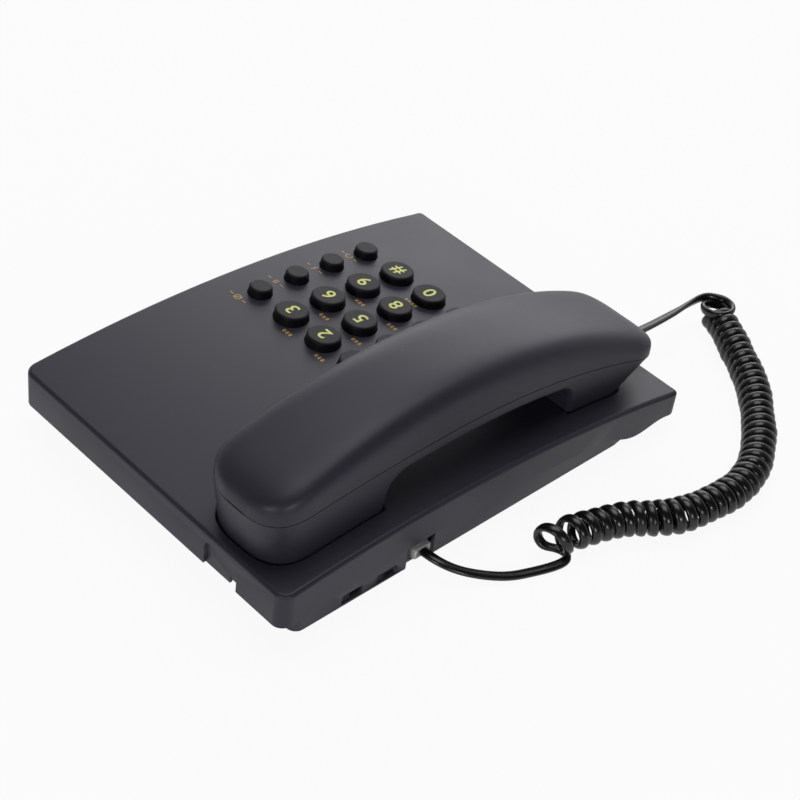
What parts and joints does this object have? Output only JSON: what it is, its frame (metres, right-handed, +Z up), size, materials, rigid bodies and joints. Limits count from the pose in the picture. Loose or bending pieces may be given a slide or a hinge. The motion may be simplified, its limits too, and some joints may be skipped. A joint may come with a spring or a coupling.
{
  "type": "corded landline phone",
  "caption": "Corded desk phone: a thin wedge base with round dial and function keys, a handset lying in its cradle on the left and a curly cord.",
  "frame": {"origin": "on the desk, at the middle of the base's width and depth", "axes": "+X to the phone's right as its user sees it, +Y to its rear, +Z up"},
  "size_m": [0.1959, 0.2632, 0.0709],
  "materials": {
    "casing": "satin",
    "keys": "satin",
    "fittings": "matt",
    "rubber": "matt",
    "steel": "satin",
    "board": "satin",
    "plugs": "clear gloss",
    "cord": "gloss"
  },
  "bodies": {
    "base": {"base_top_cover": "casing", "base_bottom_cover": "casing", "base_feet": "rubber", "base_screws": "steel", "circuit_board": "board", "board_components": "fittings", "board_screws": "steel", "keypad_mat": "rubber", "hook_spring": "steel", "hook_switch": "fittings", "line_jack": "fittings", "base_cord_jack": "fittings", "ringer_buzzer": "fittings", "ringer_switch": "fittings", "dial_mode_switch": "fittings", "base_plug": "plugs", "cord_base_tail": "cord", "cord_coil": "cord", "cord_handset_tail": "cord"},
    "handset": {"handset_outer_shell": "casing", "handset_inner_shell": "casing", "receiver": "fittings", "receiver_gasket": "rubber", "microphone": "fittings", "microphone_boot": "rubber", "handset_weight": "steel", "handset_screws": "steel", "handset_jack": "fittings", "handset_plug": "plugs"},
    "hook_plunger": {"hook_plunger": "casing"},
    "ringer_knob": {"ringer_knob": "fittings"},
    "dial_mode_knob": {"dial_mode_knob": "fittings"},
    "dial_key_1": {"dial_key_1": "keys"},
    "dial_key_2": {"dial_key_2": "keys"},
    "dial_key_3": {"dial_key_3": "keys"},
    "dial_key_4": {"dial_key_4": "keys"},
    "dial_key_5": {"dial_key_5": "keys"},
    "dial_key_6": {"dial_key_6": "keys"},
    "dial_key_7": {"dial_key_7": "keys"},
    "dial_key_8": {"dial_key_8": "keys"},
    "dial_key_9": {"dial_key_9": "keys"},
    "dial_key_star": {"dial_key_star": "keys"},
    "dial_key_0": {"dial_key_0": "keys"},
    "dial_key_hash": {"dial_key_hash": "keys"},
    "function_key_mute": {"function_key_mute": "keys"},
    "function_key_pause": {"function_key_pause": "keys"},
    "function_key_flash": {"function_key_flash": "keys"},
    "function_key_redial": {"function_key_redial": "keys"}
  },
  "joints": [
    {"name": "handset_lift", "type": "slide", "parent": "base", "child": "handset", "axis": [0, 0, 1], "range_m": [0, 0.1]},
    {"name": "hook_rise", "type": "slide", "parent": "base", "child": "hook_plunger", "axis": [0, 0, 1], "range_m": [0, 0.004], "deforming": ["hook_spring"]},
    {"name": "dial_key_1_press", "type": "slide", "parent": "base", "child": "dial_key_1", "axis": [0, 0.0895, -0.996], "range_m": [0, 0.0018], "stiffness_N_per_m": 600, "deforming": ["keypad_mat"]},
    {"name": "dial_key_2_press", "type": "slide", "parent": "base", "child": "dial_key_2", "axis": [0, 0.0895, -0.996], "range_m": [0, 0.0018], "stiffness_N_per_m": 600, "deforming": ["keypad_mat"]},
    {"name": "dial_key_3_press", "type": "slide", "parent": "base", "child": "dial_key_3", "axis": [0, 0.0895, -0.996], "range_m": [0, 0.0018], "stiffness_N_per_m": 600, "deforming": ["keypad_mat"]},
    {"name": "dial_key_4_press", "type": "slide", "parent": "base", "child": "dial_key_4", "axis": [0, 0.0895, -0.996], "range_m": [0, 0.0018], "stiffness_N_per_m": 600, "deforming": ["keypad_mat"]},
    {"name": "dial_key_5_press", "type": "slide", "parent": "base", "child": "dial_key_5", "axis": [0, 0.0895, -0.996], "range_m": [0, 0.0018], "stiffness_N_per_m": 600, "deforming": ["keypad_mat"]},
    {"name": "dial_key_6_press", "type": "slide", "parent": "base", "child": "dial_key_6", "axis": [0, 0.0895, -0.996], "range_m": [0, 0.0018], "stiffness_N_per_m": 600, "deforming": ["keypad_mat"]},
    {"name": "dial_key_7_press", "type": "slide", "parent": "base", "child": "dial_key_7", "axis": [0, 0.0895, -0.996], "range_m": [0, 0.0018], "stiffness_N_per_m": 600, "deforming": ["keypad_mat"]},
    {"name": "dial_key_8_press", "type": "slide", "parent": "base", "child": "dial_key_8", "axis": [0, 0.0895, -0.996], "range_m": [0, 0.0018], "stiffness_N_per_m": 600, "deforming": ["keypad_mat"]},
    {"name": "dial_key_9_press", "type": "slide", "parent": "base", "child": "dial_key_9", "axis": [0, 0.0895, -0.996], "range_m": [0, 0.0018], "stiffness_N_per_m": 600, "deforming": ["keypad_mat"]},
    {"name": "dial_key_star_press", "type": "slide", "parent": "base", "child": "dial_key_star", "axis": [0, 0.0895, -0.996], "range_m": [0, 0.0018], "stiffness_N_per_m": 600, "deforming": ["keypad_mat"]},
    {"name": "dial_key_0_press", "type": "slide", "parent": "base", "child": "dial_key_0", "axis": [0, 0.0895, -0.996], "range_m": [0, 0.0018], "stiffness_N_per_m": 600, "deforming": ["keypad_mat"]},
    {"name": "dial_key_hash_press", "type": "slide", "parent": "base", "child": "dial_key_hash", "axis": [0, 0.0895, -0.996], "range_m": [0, 0.0018], "stiffness_N_per_m": 600, "deforming": ["keypad_mat"]},
    {"name": "function_key_mute_press", "type": "slide", "parent": "base", "child": "function_key_mute", "axis": [0, 0.0895, -0.996], "range_m": [0, 0.0018], "stiffness_N_per_m": 600, "deforming": ["keypad_mat"]},
    {"name": "function_key_pause_press", "type": "slide", "parent": "base", "child": "function_key_pause", "axis": [0, 0.0895, -0.996], "range_m": [0, 0.0018], "stiffness_N_per_m": 600, "deforming": ["keypad_mat"]},
    {"name": "function_key_flash_press", "type": "slide", "parent": "base", "child": "function_key_flash", "axis": [0, 0.0895, -0.996], "range_m": [0, 0.0018], "stiffness_N_per_m": 600, "deforming": ["keypad_mat"]},
    {"name": "function_key_redial_press", "type": "slide", "parent": "base", "child": "function_key_redial", "axis": [0, 0.0895, -0.996], "range_m": [0, 0.0018], "stiffness_N_per_m": 600, "deforming": ["keypad_mat"]},
    {"name": "ringer_slide", "type": "slide", "parent": "base", "child": "ringer_knob", "axis": [0, -1, 0], "range_m": [0, 0.0052]},
    {"name": "dial_mode_slide", "type": "slide", "parent": "base", "child": "dial_mode_knob", "axis": [0, -1, 0], "range_m": [0, 0.0052]}
  ],
  "couplings": [
    {"joint": "hook_rise", "follows": "handset_lift", "ratio": 0.04}
  ]
}
